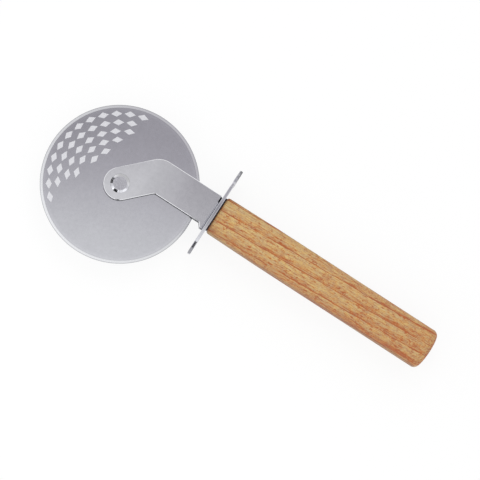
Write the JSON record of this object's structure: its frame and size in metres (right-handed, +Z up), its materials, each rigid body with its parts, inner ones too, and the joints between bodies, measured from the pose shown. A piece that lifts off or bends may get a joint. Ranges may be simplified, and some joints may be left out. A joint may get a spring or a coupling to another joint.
{
  "type": "pizza cutter wheel",
  "caption": "Pizza cutter: a thin steel cutting wheel spins in a cranked, folded steel fork, with a flat finger guard and a flattened wooden handle.",
  "frame": {"origin": "under the middle of the tool's length and of the wheel, at the level of the guard's lower edge, on which the tool rests", "axes": "+X from the wheel to the butt of the handle, +Y across the tool towards the side that the fork is cranked to, +Z up along the wheel's axle"},
  "size_m": [0.2692, 0.1, 0.026],
  "materials": {
    "wheel_steel": "satin, with ground bevels at the rim",
    "bush_bronze": "turned",
    "washer_steel": "plain",
    "rivet_steel": "polished rim, flat top lightly peened",
    "fork_steel": "satin, edges polished",
    "guard_steel": "satin",
    "gasket_rubber": "matte black",
    "handle_wood": "oiled beech",
    "insert_brass": "turned",
    "bolt_steel": "zinc plated"
  },
  "bodies": {
    "holder": {"fork": "fork_steel", "front_washer": "washer_steel", "rear_washer": "washer_steel", "axle_sleeve": "rivet_steel", "axle_pin": "rivet_steel", "guard_plate": "guard_steel", "handle_gasket": "gasket_rubber", "handle": "handle_wood", "threaded_insert": "insert_brass", "tang_bolt": "bolt_steel"},
    "wheel": {"cutting_wheel": "wheel_steel", "wheel_bush": "bush_bronze"}
  },
  "joints": [
    {"name": "wheel_spin", "type": "hinge", "parent": "holder", "child": "wheel", "pos_m": [-0.0846, 0, 0.013], "axis": [0, 0, 1], "continuous": true}
  ]
}
